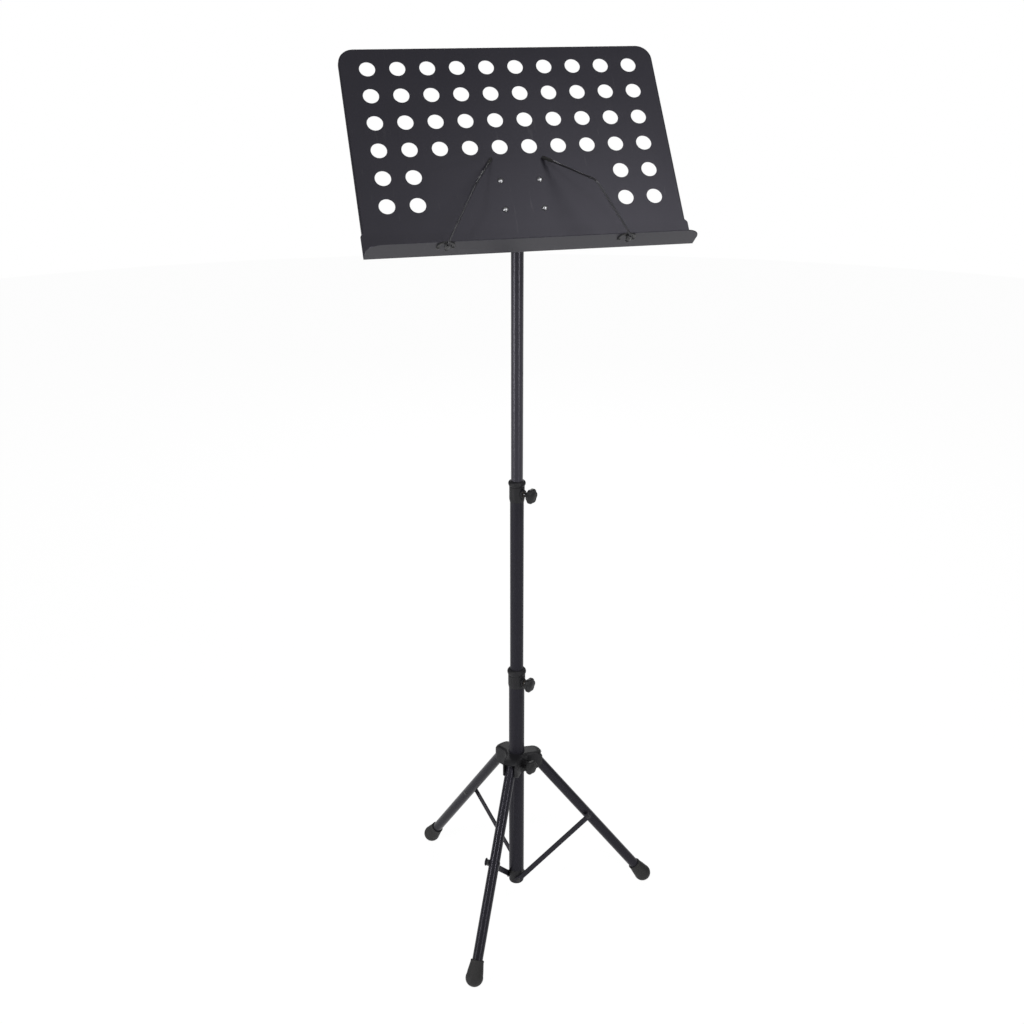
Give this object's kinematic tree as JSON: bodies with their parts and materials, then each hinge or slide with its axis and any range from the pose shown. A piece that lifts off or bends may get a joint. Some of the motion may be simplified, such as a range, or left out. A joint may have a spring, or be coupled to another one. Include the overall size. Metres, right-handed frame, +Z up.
{
  "type": "music stand",
  "caption": "Black folding music stand with a perforated steel desk, page arms, telescopic column and tripod base.",
  "frame": {"origin": "on the floor, on the axis of the column, under the middle of the tripod", "axes": "+Z up along the column; the desk faces -Y; +X to the right seen from the front"},
  "size_m": [0.4919, 0.4384, 1.4389],
  "materials": {
    "black_powder_coat": "satin powder coat",
    "black_moulded_plastic": "fine moulded grain",
    "black_knob_plastic": "satin moulded",
    "black_rubber": "matte",
    "bright_rivet_steel": "bright nickel",
    "zinc_plated_steel": "zinc plated",
    "blackened_rivet_steel": "painted black",
    "dark_arm_wire": "black nickel wire",
    "brass_insert": "machined",
    "white_bush_plastic": "natural"
  },
  "bodies": {
    "tripod_head": {"tripod_head": "black_moulded_plastic", "leg_pins": "zinc_plated_steel", "head_insert": "brass_insert"},
    "lower_column": {"lower_tube": "black_powder_coat", "bottom_casting": "black_moulded_plastic", "brace_lower_pins": "zinc_plated_steel", "lower_collar": "black_moulded_plastic", "lower_clamp_insert": "brass_insert"},
    "middle_column": {"middle_tube": "black_powder_coat", "middle_tube_bush": "white_bush_plastic", "upper_collar": "black_moulded_plastic", "upper_clamp_insert": "brass_insert"},
    "upper_column": {"upper_tube": "black_powder_coat", "upper_tube_bush": "white_bush_plastic"},
    "holder": {"desk_holder": "black_moulded_plastic", "holder_insert": "brass_insert", "tilt_bolt": "zinc_plated_steel", "tilt_washers": "zinc_plated_steel"},
    "desk": {"desk_plate": "black_powder_coat", "desk_rivets": "bright_rivet_steel", "tilt_bracket": "black_powder_coat", "left_arm_clip": "black_moulded_plastic", "right_arm_clip": "black_moulded_plastic", "clip_rivets": "blackened_rivet_steel"},
    "left_arm": {"left_arm_wire": "dark_arm_wire", "left_arm_tip": "black_rubber"},
    "right_arm": {"right_arm_wire": "dark_arm_wire", "right_arm_tip": "black_rubber"},
    "tilt_clamp": {"tilt_knob": "black_knob_plastic"},
    "holder_clamp": {"holder_knob": "black_knob_plastic", "holder_screw": "zinc_plated_steel"},
    "upper_clamp": {"upper_clamp_knob": "black_knob_plastic", "upper_clamp_screw": "zinc_plated_steel"},
    "lower_clamp": {"lower_clamp_knob": "black_knob_plastic", "lower_clamp_screw": "zinc_plated_steel"},
    "head_clamp": {"head_knob": "black_knob_plastic", "head_screw": "zinc_plated_steel"},
    "front_leg": {"front_leg_knuckle": "black_moulded_plastic", "front_leg_tube": "black_powder_coat", "front_foot": "black_rubber", "front_brace_pin": "blackened_rivet_steel"},
    "front_brace": {"front_brace": "black_powder_coat", "front_brace_rivet": "blackened_rivet_steel"},
    "right_leg": {"right_leg_knuckle": "black_moulded_plastic", "right_leg_tube": "black_powder_coat", "right_foot": "black_rubber", "right_brace_pin": "blackened_rivet_steel"},
    "right_brace": {"right_brace": "black_powder_coat", "right_brace_rivet": "blackened_rivet_steel"},
    "rear_leg": {"rear_leg_knuckle": "black_moulded_plastic", "rear_leg_tube": "black_powder_coat", "rear_foot": "black_rubber", "rear_brace_pin": "blackened_rivet_steel"},
    "rear_brace": {"rear_brace": "black_powder_coat", "rear_brace_rivet": "blackened_rivet_steel"}
  },
  "joints": [
    {"name": "fold_slide", "type": "slide", "parent": "tripod_head", "child": "lower_column", "axis": [0, 0, -1], "range_m": [0, 0.08542]},
    {"name": "middle_height", "type": "slide", "parent": "lower_column", "child": "middle_column", "axis": [0, 0, 1], "range_m": [-0.28, 0.03]},
    {"name": "upper_height", "type": "slide", "parent": "middle_column", "child": "upper_column", "axis": [0, 0, 1], "range_m": [-0.32, 0.02]},
    {"name": "desk_swivel", "type": "hinge", "parent": "upper_column", "child": "holder", "pos_m": [0, 0, 1.18], "axis": [0, 0, 1], "range_deg": [-180, 180]},
    {"name": "desk_tilt", "type": "hinge", "parent": "holder", "child": "desk", "pos_m": [0, 0, 1.2228], "axis": [1, 0, 0], "range_deg": [-52.5, 37.5]},
    {"name": "left_arm_turn", "type": "hinge", "parent": "desk", "child": "left_arm", "pos_m": [-0.1307, -0.12271, 1.19545], "axis": [0, -0.7934, 0.6088], "range_deg": [-12, 110]},
    {"name": "right_arm_turn", "type": "hinge", "parent": "desk", "child": "right_arm", "pos_m": [0.1307, -0.12271, 1.19545], "axis": [0, 0.7934, -0.6088], "range_deg": [-12, 110]},
    {"name": "tilt_knob_turn", "type": "hinge", "parent": "holder", "child": "tilt_clamp", "pos_m": [0.022, 0, 1.2228], "axis": [1, 0, 0], "range_deg": [0, 360]},
    {"name": "holder_knob_turn", "type": "hinge", "parent": "holder", "child": "holder_clamp", "pos_m": [0, 0.022, 1.1808], "axis": [0, 1, 0], "range_deg": [0, 360]},
    {"name": "upper_knob_turn", "type": "hinge", "parent": "middle_column", "child": "upper_clamp", "pos_m": [0.01354, -0.01734, 0.7775], "axis": [0.6157, -0.788, 0], "range_deg": [0, 360]},
    {"name": "lower_knob_turn", "type": "hinge", "parent": "lower_column", "child": "lower_clamp", "pos_m": [0.01354, -0.01734, 0.4405], "axis": [0.6157, -0.788, 0], "range_deg": [0, 360]},
    {"name": "head_knob_turn", "type": "hinge", "parent": "tripod_head", "child": "head_clamp", "pos_m": [0.01422, -0.02641, 0.287], "axis": [0.4741, -0.8805, 0], "range_deg": [0, 360]},
    {"name": "front_leg_fold", "type": "hinge", "parent": "tripod_head", "child": "front_leg", "pos_m": [-0.01619, -0.0262, 0.29], "axis": [0.8508, -0.5255, 0], "range_deg": [0, 36.6]},
    {"name": "front_brace_fold", "type": "hinge", "parent": "lower_column", "child": "front_brace", "pos_m": [0, 0, 0.0475], "axis": [-0.8508, 0.5255, 0], "range_deg": [0, 37.69]},
    {"name": "right_leg_fold", "type": "hinge", "parent": "tripod_head", "child": "right_leg", "pos_m": [0.03079, -0.00091, 0.29], "axis": [0.0297, 0.9996, 0], "range_deg": [0, 36.6]},
    {"name": "right_brace_fold", "type": "hinge", "parent": "lower_column", "child": "right_brace", "pos_m": [0, 0, 0.0475], "axis": [-0.0297, -0.9996, 0], "range_deg": [0, 37.69]},
    {"name": "rear_leg_fold", "type": "hinge", "parent": "tripod_head", "child": "rear_leg", "pos_m": [-0.0146, 0.02712, 0.29], "axis": [-0.8805, -0.4741, 0], "range_deg": [0, 36.6]},
    {"name": "rear_brace_fold", "type": "hinge", "parent": "lower_column", "child": "rear_brace", "pos_m": [0, 0, 0.0475], "axis": [0.8805, 0.4741, 0], "range_deg": [0, 37.69]}
  ],
  "couplings": [
    {"joint": "front_leg_fold", "follows": "fold_slide", "rad_per_m": 7.478},
    {"joint": "front_brace_fold", "follows": "fold_slide", "rad_per_m": 7.701},
    {"joint": "right_leg_fold", "follows": "fold_slide", "rad_per_m": 7.478},
    {"joint": "right_brace_fold", "follows": "fold_slide", "rad_per_m": 7.701},
    {"joint": "rear_leg_fold", "follows": "fold_slide", "rad_per_m": 7.478},
    {"joint": "rear_brace_fold", "follows": "fold_slide", "rad_per_m": 7.701}
  ]
}
